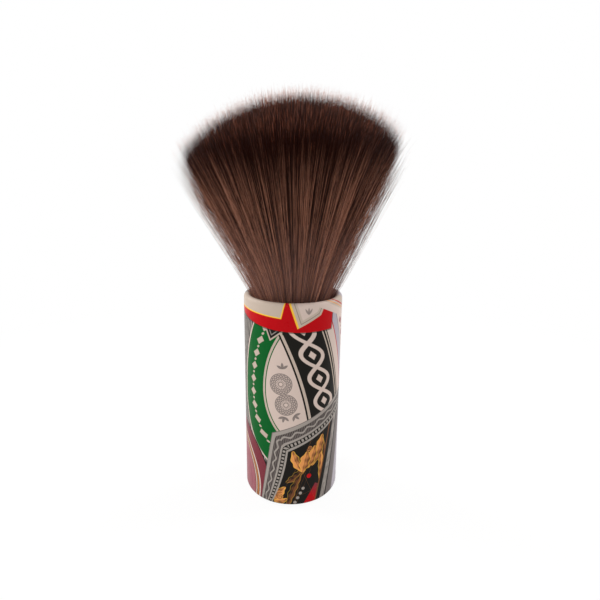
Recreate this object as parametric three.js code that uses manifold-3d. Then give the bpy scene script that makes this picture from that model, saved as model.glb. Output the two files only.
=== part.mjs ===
// Neck duster brush: a hollow round handle in a printed film sleeve, closed below by a plug cap,
// with a cup in its mouth that holds a large flared knot of soft filaments.
// Millimetres, +Z up. The origin is the centre of the underside, on the surface it stands on.

import * as THREE from 'three';
import { mergeVertices } from 'three/addons/utils/BufferGeometryUtils.js';
import Module from 'manifold-3d';

const wasm = await Module();
wasm.setup();

// Handle, measured over the film
const HANDLE_RADIUS = 22;
const HANDLE_HEIGHT = 94.3;
const LIP_THICKNESS = 3;
const BASE_EDGE_RADIUS = 1;

// Film sleeve
const FILM_THICKNESS = 0.4;
const FILM_TURN_IN = 4;
const FILM_TURN_UNDER = 2;

// Gap kept between pieces that touch or nest
const FIT_GAP = 0.3;

// Handle tube below the cup, and the depth of the cup's seat under the lip
const TUBE_WALL = 3.1;
const CUP_SEAT_DEPTH = 32;

// Base cap
const CAP_FLANGE_THICKNESS = 2;
const CAP_FLANGE_WIDTH = 1.5;
const CAP_SKIRT_HEIGHT = 8;
const CAP_SKIRT_WALL = 1.5;

// Knot cup, the resin that holds the roots, and the band round them
const CUP_WALL = 1.5;
const CUP_FLOOR = 2;
const ROOT_PLUG_HEIGHT = 8;
const BAND_HEIGHT = 6;
const BAND_WALL = 1.1;

// Flared head of the knot: its widest radius, and how far its shoulder and top stand above the lip
const HEAD_RADIUS = 47.5;
const SHOULDER_RISE = 53;
const HEAD_RISE = 82.2;
const DOME_POWER = 1.9;
const TUFT_GAP = 0.5;
const INNER_TUFTS = 6;
const OUTER_TUFTS = 12;

// Fineness of round shapes
const ROUND_SEGMENTS = 48;
const ARC_DIVISIONS = 3;
const DOME_STEPS = 4;
const BISECTIONS = 40;

// Sizes that follow from the values above
const LIP_ROUND = LIP_THICKNESS / 2;
const LIP_CENTRE_RADIUS = HANDLE_RADIUS - LIP_ROUND;
const LIP_CENTRE_HEIGHT = HANDLE_HEIGHT - LIP_ROUND;
const MOUTH_RADIUS = HANDLE_RADIUS - LIP_THICKNESS;
const FILM_FIT = FILM_THICKNESS + FIT_GAP;
const TUBE_RADIUS = HANDLE_RADIUS - FILM_FIT;
const TUBE_MOUTH_RADIUS = MOUTH_RADIUS + FILM_FIT;
const TUBE_BORE_RADIUS = TUBE_RADIUS - TUBE_WALL;
const CUP_SEAT_HEIGHT = HANDLE_HEIGHT - CUP_SEAT_DEPTH;
const CAP_FLANGE_RADIUS = TUBE_BORE_RADIUS + CAP_FLANGE_WIDTH - FIT_GAP;
const CAP_SKIRT_RADIUS = TUBE_BORE_RADIUS - FIT_GAP;
const FILM_UNDER_RADIUS = HANDLE_RADIUS - FILM_TURN_UNDER;
const CUP_RADIUS = TUBE_MOUTH_RADIUS - FIT_GAP;
const CUP_BORE_RADIUS = CUP_RADIUS - CUP_WALL;
const CUP_BASE_HEIGHT = CUP_SEAT_HEIGHT + FIT_GAP;
const CUP_RIM_HEIGHT = HANDLE_HEIGHT - FILM_TURN_IN - FIT_GAP;
const PLUG_BASE_HEIGHT = CUP_BASE_HEIGHT + CUP_FLOOR + FIT_GAP;
const KNOT_RADIUS = CUP_BORE_RADIUS - FIT_GAP;
const ROOT_HEIGHT = PLUG_BASE_HEIGHT + ROOT_PLUG_HEIGHT + FIT_GAP;
const WAIST_RADIUS = KNOT_RADIUS - BAND_WALL - FIT_GAP;
const WAIST_TOP = ROOT_HEIGHT + BAND_HEIGHT + FIT_GAP;

const SHOULDER_HEIGHT = HANDLE_HEIGHT + SHOULDER_RISE;
const HEAD_TOP = HANDLE_HEIGHT + HEAD_RISE;

// The flare is the line from the shoulder that just clears the round of the lip
const LIP_CLEARANCE = LIP_ROUND + FIT_GAP;
const FLARE_RUN = HEAD_RADIUS - LIP_CENTRE_RADIUS;
const FLARE_RISE = SHOULDER_HEIGHT - LIP_CENTRE_HEIGHT;
const FLARE_LENGTH = Math.hypot(FLARE_RUN, FLARE_RISE);
const FLARE_ANGLE = Math.atan2(FLARE_RUN, FLARE_RISE) + Math.asin(LIP_CLEARANCE / FLARE_LENGTH);
const THROAT_RADIUS = LIP_CENTRE_RADIUS - LIP_CLEARANCE / Math.cos(FLARE_ANGLE);

// Half of the knot's outline, from the roots up to the shoulder, as radius and height
const KNOT_SIDE = [
  [WAIST_RADIUS, ROOT_HEIGHT],
  [WAIST_RADIUS, WAIST_TOP],
  [KNOT_RADIUS, CUP_RIM_HEIGHT],
  [THROAT_RADIUS, LIP_CENTRE_HEIGHT],
  [HEAD_RADIUS, SHOULDER_HEIGHT],
];

const LOOKS = {
  film: { color: '#b9a08c', roughness: 0.35, metalness: 0 },
  tube: { color: '#e8e4dc', roughness: 0.55, metalness: 0 },
  cap: { color: '#1d1c1c', roughness: 0.6, metalness: 0 },
  cup: { color: '#2a2624', roughness: 0.5, metalness: 0 },
  resin: { color: '#6d4a24', roughness: 0.3, metalness: 0 },
  band: { color: '#33221b', roughness: 0.7, metalness: 0 },
  filament: { color: '#4a2c22', roughness: 0.6, metalness: 0 },
};

// A geometry with shared vertices, as one closed solid
function toSolid(geometry) {
  const bare = geometry.clone();
  bare.deleteAttribute('normal');
  bare.deleteAttribute('uv');
  const merged = mergeVertices(bare);
  return new wasm.Manifold(new wasm.Mesh({
    numProp: 3,
    vertProperties: merged.attributes.position.array,
    triVerts: new Uint32Array(merged.index.array),
  }));
}

function toGeometry(solid) {
  const mesh = solid.getMesh();
  const geometry = new THREE.BufferGeometry();
  geometry.setAttribute('position', new THREE.BufferAttribute(mesh.vertProperties, 3));
  geometry.setIndex(new THREE.BufferAttribute(mesh.triVerts, 1));
  geometry.computeVertexNormals();
  return geometry;
}

// An outline of radius and height, turned about the Z axis
function revolve(points) {
  const geometry = new THREE.LatheGeometry(points, ROUND_SEGMENTS);
  geometry.rotateX(Math.PI / 2);
  return geometry;
}

function polyline(corners) {
  return corners.map(([radius, height]) => new THREE.Vector2(radius, height));
}

// Film round the tube: turned under at the base and over the lip into the mouth
function printedSleeve() {
  const edge = BASE_EDGE_RADIUS;
  const outline = new THREE.Path();
  outline.moveTo(FILM_UNDER_RADIUS, 0);
  outline.absarc(HANDLE_RADIUS - edge, edge, edge, -Math.PI / 2, 0, false);
  outline.absarc(LIP_CENTRE_RADIUS, LIP_CENTRE_HEIGHT, LIP_ROUND, 0, Math.PI, false);
  outline.lineTo(MOUTH_RADIUS, HANDLE_HEIGHT - FILM_TURN_IN);
  outline.lineTo(MOUTH_RADIUS + FILM_THICKNESS, HANDLE_HEIGHT - FILM_TURN_IN);
  outline.absarc(LIP_CENTRE_RADIUS, LIP_CENTRE_HEIGHT, LIP_ROUND - FILM_THICKNESS, Math.PI, 0, true);
  outline.absarc(HANDLE_RADIUS - edge, edge, edge - FILM_THICKNESS, 0, -Math.PI / 2, true);
  outline.lineTo(FILM_UNDER_RADIUS, FILM_THICKNESS);
  outline.closePath();
  return revolve(outline.getPoints(ARC_DIVISIONS));
}

// Rigid tube: round lip, wide mouth down to the cup's seat, and a counterbore for the cap's flange
function handleTube() {
  const edge = BASE_EDGE_RADIUS - FILM_FIT;
  const counterboreRadius = TUBE_BORE_RADIUS + CAP_FLANGE_WIDTH;
  const counterboreTop = CAP_FLANGE_THICKNESS + FIT_GAP;
  const outline = new THREE.Path();
  outline.moveTo(counterboreRadius, FILM_FIT);
  outline.absarc(TUBE_RADIUS - edge, FILM_FIT + edge, edge, -Math.PI / 2, 0, false);
  outline.absarc(LIP_CENTRE_RADIUS, LIP_CENTRE_HEIGHT, LIP_ROUND - FILM_FIT, 0, Math.PI, false);
  outline.lineTo(TUBE_MOUTH_RADIUS, CUP_SEAT_HEIGHT);
  outline.lineTo(TUBE_BORE_RADIUS, CUP_SEAT_HEIGHT);
  outline.lineTo(TUBE_BORE_RADIUS, counterboreTop);
  outline.lineTo(counterboreRadius, counterboreTop);
  outline.closePath();
  return revolve(outline.getPoints(ARC_DIVISIONS));
}

// Plug cap: a flat flange that the brush stands on, and a skirt pressed into the tube
function baseCap() {
  const skirtTop = CAP_FLANGE_THICKNESS + CAP_SKIRT_HEIGHT;
  const skirtBore = CAP_SKIRT_RADIUS - CAP_SKIRT_WALL;
  return revolve(polyline([
    [0, 0],
    [CAP_FLANGE_RADIUS, 0],
    [CAP_FLANGE_RADIUS, CAP_FLANGE_THICKNESS],
    [CAP_SKIRT_RADIUS, CAP_FLANGE_THICKNESS],
    [CAP_SKIRT_RADIUS, skirtTop],
    [skirtBore, skirtTop],
    [skirtBore, CAP_FLANGE_THICKNESS],
    [0, CAP_FLANGE_THICKNESS],
  ]));
}

// Cup on the tube's seat, open at the top
function knotCup() {
  const floorTop = CUP_BASE_HEIGHT + CUP_FLOOR;
  return revolve(polyline([
    [0, CUP_BASE_HEIGHT],
    [CUP_RADIUS, CUP_BASE_HEIGHT],
    [CUP_RADIUS, CUP_RIM_HEIGHT],
    [CUP_BORE_RADIUS, CUP_RIM_HEIGHT],
    [CUP_BORE_RADIUS, floorTop],
    [0, floorTop],
  ]));
}

function rootPlug() {
  const top = PLUG_BASE_HEIGHT + ROOT_PLUG_HEIGHT;
  return revolve(polyline([
    [0, PLUG_BASE_HEIGHT],
    [KNOT_RADIUS, PLUG_BASE_HEIGHT],
    [KNOT_RADIUS, top],
    [0, top],
  ]));
}

function knotBand() {
  const bore = KNOT_RADIUS - BAND_WALL;
  const top = ROOT_HEIGHT + BAND_HEIGHT;
  return revolve(polyline([
    [bore, ROOT_HEIGHT],
    [KNOT_RADIUS, ROOT_HEIGHT],
    [KNOT_RADIUS, top],
    [bore, top],
    [bore, ROOT_HEIGHT],
  ]));
}

// Outer radius of the whole knot at a height between two of its side points
function knotRadius(height) {
  const upper = KNOT_SIDE.findIndex(([, top], index) => index > 0 && height <= top);
  const [[lowRadius, low], [highRadius, high]] =
    upper > 0 ? KNOT_SIDE.slice(upper - 1, upper + 1) : KNOT_SIDE.slice(-2);
  return lowRadius + (highRadius - lowRadius) * (height - low) / (high - low);
}

function domeRadius(height) {
  const rise = (height - SHOULDER_HEIGHT) / (HEAD_TOP - SHOULDER_HEIGHT);
  return HEAD_RADIUS * (1 - rise ** DOME_POWER) ** (1 / DOME_POWER);
}

// Height at which filaments that keep one share of the knot's radius reach the dome
function domeHeight(share) {
  let low = SHOULDER_HEIGHT;
  let high = HEAD_TOP;
  for (let step = 0; step < BISECTIONS; step += 1) {
    const middle = (low + high) / 2;
    if (share * knotRadius(middle) < domeRadius(middle)) {
      low = middle;
    } else {
      high = middle;
    }
  }
  return (low + high) / 2;
}

// Points up the knot at one share of its radius, moved sideways by an offset
function sideOfShare(share, offset) {
  const lower = KNOT_SIDE.slice(0, -1).map(([radius, height]) => [share * radius + offset, height]);
  const top = domeHeight(share);
  return [...lower, [share * knotRadius(top) + offset, top]];
}

// Points over the dome between two shares, from the outer one inwards, ends left out
function domeBetween(outer, inner) {
  const points = [];
  for (let step = 1; step < DOME_STEPS; step += 1) {
    const share = outer + (inner - outer) * step / DOME_STEPS;
    const height = domeHeight(share);
    points.push([share * knotRadius(height), height]);
  }
  return points;
}

// Share of the knot's radius that holds a number of tufts of equal area
function shareHolding(tufts) {
  return Math.sqrt(tufts / (1 + INNER_TUFTS + OUTER_TUFTS));
}

function centreTuft() {
  const share = shareHolding(1);
  return revolve(polyline([
    [0, ROOT_HEIGHT],
    ...sideOfShare(share, -TUFT_GAP / 2),
    ...domeBetween(share, 0),
    [0, HEAD_TOP],
  ]));
}

// All the filaments between two shares, as one ring
function tuftRing(inner, outer) {
  const outerOffset = outer < 1 ? -TUFT_GAP / 2 : 0;
  const innerSide = sideOfShare(inner, TUFT_GAP / 2).reverse();
  const profile = [
    ...sideOfShare(outer, outerOffset),
    ...domeBetween(outer, inner),
    ...innerSide,
  ];
  return revolve(polyline([...profile, profile[0]]));
}

// Upright wedge about +X that takes one tuft out of a ring, with half the gap left on each side
function tuftWedge(count) {
  const halfAngle = Math.PI / count;
  const apex = TUFT_GAP / 2 / Math.sin(halfAngle);
  const reach = 2 * HEAD_RADIUS;
  const halfWidth = (reach - apex) * Math.tan(halfAngle);
  const outline = new THREE.Shape();
  outline.moveTo(apex, 0);
  outline.lineTo(reach, -halfWidth);
  outline.lineTo(reach, halfWidth);
  outline.closePath();
  return new THREE.ExtrudeGeometry(outline, { depth: 2 * HEAD_TOP, bevelEnabled: false });
}

function ringTuft(inner, outer, count) {
  const ring = toSolid(tuftRing(inner, outer));
  return toGeometry(ring.intersect(toSolid(tuftWedge(count))));
}

function piece(name, geometry, look) {
  const mesh = new THREE.Mesh(geometry, new THREE.MeshStandardMaterial(look));
  mesh.name = name;
  return mesh;
}

function tuftsAround(name, geometry, count) {
  const group = new THREE.Group();
  for (let index = 0; index < count; index += 1) {
    const tuft = piece(`${name}_${index + 1}`, geometry, LOOKS.filament);
    tuft.rotation.z = 2 * Math.PI * index / count;
    group.add(tuft);
  }
  return group;
}

function handle() {
  const group = new THREE.Group();
  group.add(piece('printed_sleeve', printedSleeve(), LOOKS.film));
  group.add(piece('handle_tube', handleTube(), LOOKS.tube));
  group.add(piece('base_cap', baseCap(), LOOKS.cap));
  return group;
}

function knot() {
  const innerShare = shareHolding(1);
  const outerShare = shareHolding(1 + INNER_TUFTS);
  const innerTuft = ringTuft(innerShare, outerShare, INNER_TUFTS);
  const outerTuft = ringTuft(outerShare, 1, OUTER_TUFTS);
  const group = new THREE.Group();
  group.add(piece('knot_cup', knotCup(), LOOKS.cup));
  group.add(piece('root_plug', rootPlug(), LOOKS.resin));
  group.add(piece('knot_band', knotBand(), LOOKS.band));
  group.add(piece('bristle_tuft_centre', centreTuft(), LOOKS.filament));
  group.add(tuftsAround('bristle_tuft_inner', innerTuft, INNER_TUFTS));
  group.add(tuftsAround('bristle_tuft_outer', outerTuft, OUTER_TUFTS));
  return group;
}

const brush = new THREE.Group();
brush.name = 'neck_duster_brush';
brush.add(handle());
brush.add(knot());

export default brush;
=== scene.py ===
"""Neck duster brush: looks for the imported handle, its printed film sleeve and its filament knot."""

import math

import bpy
import numpy as np
from bpy.props import FloatProperty, FloatVectorProperty, IntProperty, PointerProperty
from mathutils import Matrix, Vector


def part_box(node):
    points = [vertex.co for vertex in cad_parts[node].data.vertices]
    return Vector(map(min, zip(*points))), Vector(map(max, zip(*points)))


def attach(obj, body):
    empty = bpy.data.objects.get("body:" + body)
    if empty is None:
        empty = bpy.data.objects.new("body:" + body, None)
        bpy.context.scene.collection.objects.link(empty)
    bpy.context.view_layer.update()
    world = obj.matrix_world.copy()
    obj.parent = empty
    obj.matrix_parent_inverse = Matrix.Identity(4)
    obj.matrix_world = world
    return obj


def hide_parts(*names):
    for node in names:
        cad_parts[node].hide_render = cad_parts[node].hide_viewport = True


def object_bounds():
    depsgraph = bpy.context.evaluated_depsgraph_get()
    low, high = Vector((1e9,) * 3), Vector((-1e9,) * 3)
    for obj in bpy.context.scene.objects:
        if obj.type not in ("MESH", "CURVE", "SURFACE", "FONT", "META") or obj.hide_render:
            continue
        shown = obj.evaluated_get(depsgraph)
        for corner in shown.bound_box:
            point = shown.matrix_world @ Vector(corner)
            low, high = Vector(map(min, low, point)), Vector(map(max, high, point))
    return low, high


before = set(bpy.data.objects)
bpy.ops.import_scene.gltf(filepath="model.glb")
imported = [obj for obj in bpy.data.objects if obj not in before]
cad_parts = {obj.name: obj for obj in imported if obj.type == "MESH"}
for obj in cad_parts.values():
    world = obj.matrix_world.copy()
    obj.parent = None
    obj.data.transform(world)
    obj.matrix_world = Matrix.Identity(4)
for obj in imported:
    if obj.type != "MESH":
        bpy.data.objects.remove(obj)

bl_info = {
    "name": "Neck Duster Brush",
    "version": (1, 0, 0),
    "blender": (4, 5, 0),
    "location": "3D View > Sidebar > Neck Duster",
    "description": "Builds a barber's neck duster round its packed frame: sleeve, cap, knot and stage",
    "category": "Object",
}

BODY = "root"
MM = 0.001
CAD_BOX = [list(corner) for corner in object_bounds()]
_, SLEEVE_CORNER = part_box("printed_sleeve")
HANDLE_RADIUS = SLEEVE_CORNER.x
HANDLE_HEIGHT = SLEEVE_CORNER.z
HALF_WRAP = math.pi * HANDLE_RADIUS / MM
TUFTS = sorted(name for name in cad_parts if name.startswith("bristle_tuft"))
FINE = 0.01 * MM
PRINT_BLUR = 0.07
SOFT_SHINE = 0.06
LINE_TURN = 4.6
ROSETTE_PETALS = 9
PALETTE = (
    "Red", "Green", "Cream", "Blush", "Ink", "Steel", "Silver", "Ochre", "Umber", "Maroon", "Rose",
    "Gold", "Lilac")
# Tips, Ends and Pale carry painted shade and painted light as well as the filaments' own colour.
FILAMENT_INKS_AND_LIGHT = ("Base", "Body", "Tips", "Ends", "Pale", "Russet")
PLANE = ("Across", "Up")
SOCKET_KINDS = {"Place": "Vector", **dict.fromkeys(("Color", *PALETTE, *FILAMENT_INKS_AND_LIGHT), "Color")}


def linear(code):
    """The linear colour of a six-digit sRGB code."""
    parts = [int(code[place:place + 2], 16) / 255 for place in (0, 2, 4)]
    return tuple(c / 12.92 if c <= 0.04045 else ((c + 0.055) / 1.055) ** 2.4 for c in parts)


def colour(name, description, code):
    return FloatVectorProperty(
        name=name, description=description, default=linear(code), size=3, min=0, max=1, subtype="COLOR")


def length(name, description, default):
    return FloatProperty(
        name=name, description=description, default=default, min=0, subtype="DISTANCE", unit="LENGTH")


def angle(name, description, degrees):
    return FloatProperty(
        name=name, description=description, default=math.radians(degrees), subtype="ANGLE", unit="ROTATION")


def portion(name, description, default):
    return FloatProperty(
        name=name, description=description, default=default, min=0, max=1, subtype="FACTOR")


def amount(name, description, default):
    return IntProperty(name=name, description=description, default=default, min=1)


def power(name, description, default):
    return FloatProperty(name=name, description=description, default=default, min=0, unit="POWER")


# ---------------------------------------------------------------- settings

class NeckDusterFilm(bpy.types.PropertyGroup):
    film: length("Film thickness", "Thickness of the printed film", 0.4 * MM)
    lip: length("Lip thickness", "Thickness of the handle's round lip, film included", 3 * MM)
    edge: length("Base edge radius", "Radius of the film's bottom edge", 1 * MM)
    turn_in: length("Turn-in", "How far the film runs down inside the mouth", 4 * MM)
    turn_under: length("Turn-under", "How far the film runs in under the base", 2 * MM)
    pleat: length("Pleat height", "Height of the small pleats where the film is turned in", 0.07 * MM)
    seam: length("Seam step", "Height of the step where the film's end overlaps its start", 0.16 * MM)
    red: colour("Red", "Collar band", "B0050F")
    green: colour("Green", "Curved band", "055722")
    cream: colour("Cream", "Lip and collar points", "B6A698")
    blush: colour("Blush", "Pale ground behind the rosettes", "C8B5AB")
    ink: colour("Ink", "Black bands and grounds", "1A1815")
    steel: colour("Steel grey", "Ornamental border", "6B625F")
    silver: colour("Silver grey", "Engraved ground beside the green band", "989089")
    ochre: colour("Ochre", "Scrollwork", "D68E50")
    umber: colour("Umber", "Scrollwork shade", "70452A")
    maroon: colour("Maroon", "Round medallion", "743039")
    rose: colour("Rose", "Inside of the round medallion", "965860")
    gold: colour("Gold", "Thin keylines", "E9B93A")
    lilac: colour("Lilac grey", "Ground at the right side", "A9A1AA")


class NeckDusterKnot(bpy.types.PropertyGroup):
    strands: amount("Filaments in a tuft", "Filaments drawn in each tuft", 5200)
    strand: length("Filament radius", "Radius of one filament", 0.064 * MM)
    # The thin tip takes a light colour: painted light, for light shining through the thin ends at the
    # outline.
    thin_tip: length("Thin tip", "Length of a filament's thin, light tip", 4 * MM)
    tip: length("Tip radius", "Radius of a filament at its tapered tip", 0.01 * MM)
    fuzz: length("Length spread", "Standard spread of the filament lengths", 0.5 * MM)
    side_fringe: length("Side fringe", "Depth of the thin outer layer of filaments at the shoulder", 7.6 * MM)
    lip_fringe: length("Lip fringe", "Depth of the thin outer layer of filaments at the lip", 4.8 * MM)
    top_fringe: length("Top fringe", "Height of the thin layer of the longest filaments", 7 * MM)
    overrun: length("Overrun", "How far the longest filaments stand above the packed dome", 3 * MM)
    thin: portion("Side fringe share", "Share of an outer tuft's filaments in the side fringe", 0.045)
    coarse: portion("Coarse share", "Share of the side fringe that is coarse and on the surface", 0.05)
    tall: portion("Top fringe share", "Share of the filaments that reach into the top fringe", 0.55)
    stray: length("Stray spread", "Standard sideways spread of the filament tips", 1.3 * MM)
    lean: angle("Lean", "How far the knot leans towards -X", 1.98)
    lean_rise: length("Lean rise", "Height above the lip over which the lean comes in", 20 * MM)
    dome: FloatProperty(
        name="Dome fullness", description="Power of the curve over the head", default=1.8, min=1)
    skew: FloatProperty(
        name="Dome skew", description="How much fuller the head is towards +X", default=0.27)
    wild: portion("Strays", "Share of filaments that stray far", 0.006)
    clumps: amount("Clumps in a tuft", "Small clumps that the filaments gather in", 60)
    gather: portion("Gather", "How far filaments close up on their clump", 0.8)
    seed: amount("Seed", "Seed of the filament draw", 7)
    # Root, body and tip colours darken towards the top of the head: partly the filaments' own darker tips,
    # partly painted shade of the dome, where light is lost between the packed tips.
    root_colour: colour("Root colour", "Filaments just above the lip", "6A514D")
    body_colour: colour("Body colour", "Filaments at mid length", "321E19")
    tip_and_shade_colour: colour("Tip colour", "Filaments at their tips", "290B04")
    # End colour: painted light, for light shining through the thin ends at the outline.
    end_backlight_colour: colour("End colour", "The thin ends of the filaments", "B0684A")
    # Pale filament: partly lighter filaments, partly painted backlight on the thin outer fringe.
    pale: colour("Pale filament", "The lightest filaments", "A4705A")
    russet: colour("Russet filament", "The reddest filaments", "6E3A1E")


class NeckDusterStage(bpy.types.PropertyGroup):
    distance: length("Camera distance", "From the handle's axis, along -Y", 194.9 * MM)
    height: length("Camera height", "Above the surface that the brush stands on", 140.4 * MM)
    pitch: angle("Pitch", "How far the camera looks down", 14.35)
    yaw: angle("Yaw", "How far the camera turns towards +X", 0.91)
    roll: angle("Roll", "How far the camera rolls", 0.82)
    lens: FloatProperty(
        name="Lens", description="Focal length in millimetres", default=26.76, min=1, unit="CAMERA")
    floor_size: length("Floor size", "Width and depth of the floor", 8)
    floor_colour: colour("Floor colour", "Pale floor", "F2F1EF")
    floor_near: length("Shadow reach", "Distance from the brush within which the floor is shaded", 0.1)
    floor_far: length("Shadow end", "Distance from the brush beyond which the floor is plain white", 0.35)
    floor_glow: portion("Floor glow", "How white the floor shows", 0.9)
    key: power("Key", "Upper left lamp", 4.0)
    side: power("Sides", "Each of the two side lamps", 1.6)
    ambient: FloatProperty(name="Ambient", description="Light from all round", default=0.45, min=0)


# ---------------------------------------------------------------- node trees

MIX_UNDER, MIX_OVER, MIX_RESULT = 6, 7, 2     # the Mix node's colour sockets


def maths_method(operation):
    """The method that puts a field and what it is given through one math node."""
    return lambda field, *others: field.sheet.maths(operation, field, *others)


class Field:
    """A number that changes over a surface, so that node sums read as plain arithmetic."""

    def __init__(self, sheet, socket):
        self.sheet = sheet
        self.socket = socket

    __add__ = __radd__ = maths_method("ADD")
    __mul__ = __rmul__ = maths_method("MULTIPLY")
    __sub__ = maths_method("SUBTRACT")
    __truediv__ = maths_method("DIVIDE")
    __abs__ = maths_method("ABSOLUTE")
    above = maths_method("GREATER_THAN")
    least = maths_method("MINIMUM")
    most = maths_method("MAXIMUM")
    sine = maths_method("SINE")
    cosine = maths_method("COSINE")
    root = maths_method("SQRT")
    wrap = maths_method("WRAP")

    def __rsub__(self, other):
        return self.sheet.maths("SUBTRACT", other, self)

    def __neg__(self):
        return self * -1


class Sheet:
    """A node tree and the calls that add to it."""

    def __init__(self, tree):
        self.tree = tree

    def node(self, kind, **settings):
        made = self.tree.nodes.new("ShaderNode" + kind)
        for name, value in settings.items():
            setattr(made, name, value)
        return made

    def feed(self, socket, value):
        if isinstance(value, Field):
            self.tree.links.new(value.socket, socket)
        elif isinstance(value, bpy.types.NodeSocket):
            self.tree.links.new(value, socket)
        elif socket.type == "RGBA":
            socket.default_value = (*value[:3], 1)
        else:
            socket.default_value = value

    def maths(self, operation, *values):
        made = self.node("Math", operation=operation)
        for socket, value in zip(made.inputs, values):
            self.feed(socket, value)
        return Field(self, made.outputs[0])

    def mix(self, mask, under, over):
        """The colour under, painted over where the mask is 1."""
        made = self.node("Mix", data_type="RGBA")
        self.feed(made.inputs[0], mask)
        self.feed(made.inputs[MIX_UNDER], under)
        self.feed(made.inputs[MIX_OVER], over)
        return made.outputs[MIX_RESULT]

    def scaled(self, colour, shade):
        """The colour made lighter or darker by the shade."""
        made = self.node("VectorMath", operation="SCALE")
        self.feed(made.inputs[0], colour)
        self.feed(made.inputs["Scale"], shade)
        return made.outputs[0]

    def ramp(self, value, low, high, start=0.0, end=1.0):
        """The value moved from low..high to start..end, held at both ends."""
        made = self.node("MapRange", clamp=True)
        for socket, number in zip(made.inputs, (value, low, high, start, end)):
            self.feed(socket, number)
        return Field(self, made.outputs[0])

    def fill(self, inside):
        """A mask that is 1 where inside is over 0, with the print's slightly soft edge."""
        return self.ramp(inside, -PRINT_BLUR, PRINT_BLUR)

    def noise(self, place, scale, detail=3.0, roughness=0.55):
        made = self.node("TexNoise")
        self.feed(made.inputs["Vector"], place)
        made.inputs["Scale"].default_value = scale
        made.inputs["Detail"].default_value = detail
        made.inputs["Roughness"].default_value = roughness
        return Field(self, made.outputs["Fac"])

    def flat_place(self, across, up):
        made = self.node("CombineXYZ")
        self.feed(made.inputs[0], across)
        self.feed(made.inputs[1], up)
        return made.outputs[0]

    def place(self, group, **values):
        """A node group set in this tree, with its inputs fed by name."""
        made = self.node("Group", node_tree=group)
        for name, value in values.items():
            self.feed(made.inputs[name.replace("_", " ")], value)
        return made

    def field(self, node, output):
        return Field(self, node.outputs[output])


def new_group(name, inputs, outputs):
    """A node group with named sockets. Returns the group, its sheet, its inputs and its end."""
    group = bpy.data.node_groups.new(name, "ShaderNodeTree")
    for side, sockets in (("INPUT", inputs), ("OUTPUT", outputs)):
        for socket in sockets:
            kind = "NodeSocket" + SOCKET_KINDS.get(socket, "Float")
            group.interface.new_socket(socket, in_out=side, socket_type=kind)
    sheet = Sheet(group)
    start = group.nodes.new("NodeGroupInput")
    end = group.nodes.new("NodeGroupOutput")
    given = {
        socket: start.outputs[socket] if socket in SOCKET_KINDS else sheet.field(start, socket)
        for socket in inputs
    }
    return group, sheet, given, end


def wrap_group():
    """Millimetres round the handle from its front, and up it."""
    group, sheet, given, end = new_group("Handle wrap", ("Place",), PLANE)
    split = sheet.node("SeparateXYZ")
    sheet.feed(split.inputs[0], given["Place"])
    x, y, z = (Field(sheet, socket) for socket in split.outputs)
    turn = sheet.maths("ARCTAN2", x, -y)
    sheet.feed(end.inputs["Across"], turn * (HANDLE_RADIUS / MM))
    sheet.feed(end.inputs["Up"], z / MM)
    return group


def arc_group():
    """How far a point lies inside an edge made of two arcs, which meet level at its leftmost point."""
    inputs = (*PLANE, "Left", "Middle", "Upper radius", "Lower radius")
    group, sheet, given, end = new_group("Arc edge", inputs, ("Inside",))
    rise = given["Up"] - given["Middle"]
    upper = rise.above(0)
    radius = upper * given["Upper radius"] + (1 - upper) * given["Lower radius"]
    run = given["Across"] - given["Left"] - radius
    sheet.feed(end.inputs["Inside"], radius - (run * run + rise * rise).root())
    return group


def line_group():
    """Distance to the left of a straight line through a point at an angle, and distance along it."""
    inputs = (*PLANE, "Start across", "Start up", "Angle")
    group, sheet, given, end = new_group("Straight edge", inputs, ("Left", "Along"))
    run = given["Across"] - given["Start across"]
    rise = given["Up"] - given["Start up"]
    side, ahead = given["Angle"].sine(), given["Angle"].cosine()
    sheet.feed(end.inputs["Left"], rise * ahead - run * side)
    sheet.feed(end.inputs["Along"], run * ahead + rise * side)
    return group


def stripe_group():
    """A printed stripe: 1 within half the width of the centre, with a slightly soft edge."""
    group, sheet, given, end = new_group("Stripe", ("Distance", "Centre", "Width"), ("Mask",))
    off = abs(given["Distance"] - given["Centre"])
    sheet.feed(end.inputs["Mask"], sheet.fill(given["Width"] / 2 - off))
    return group


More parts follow.
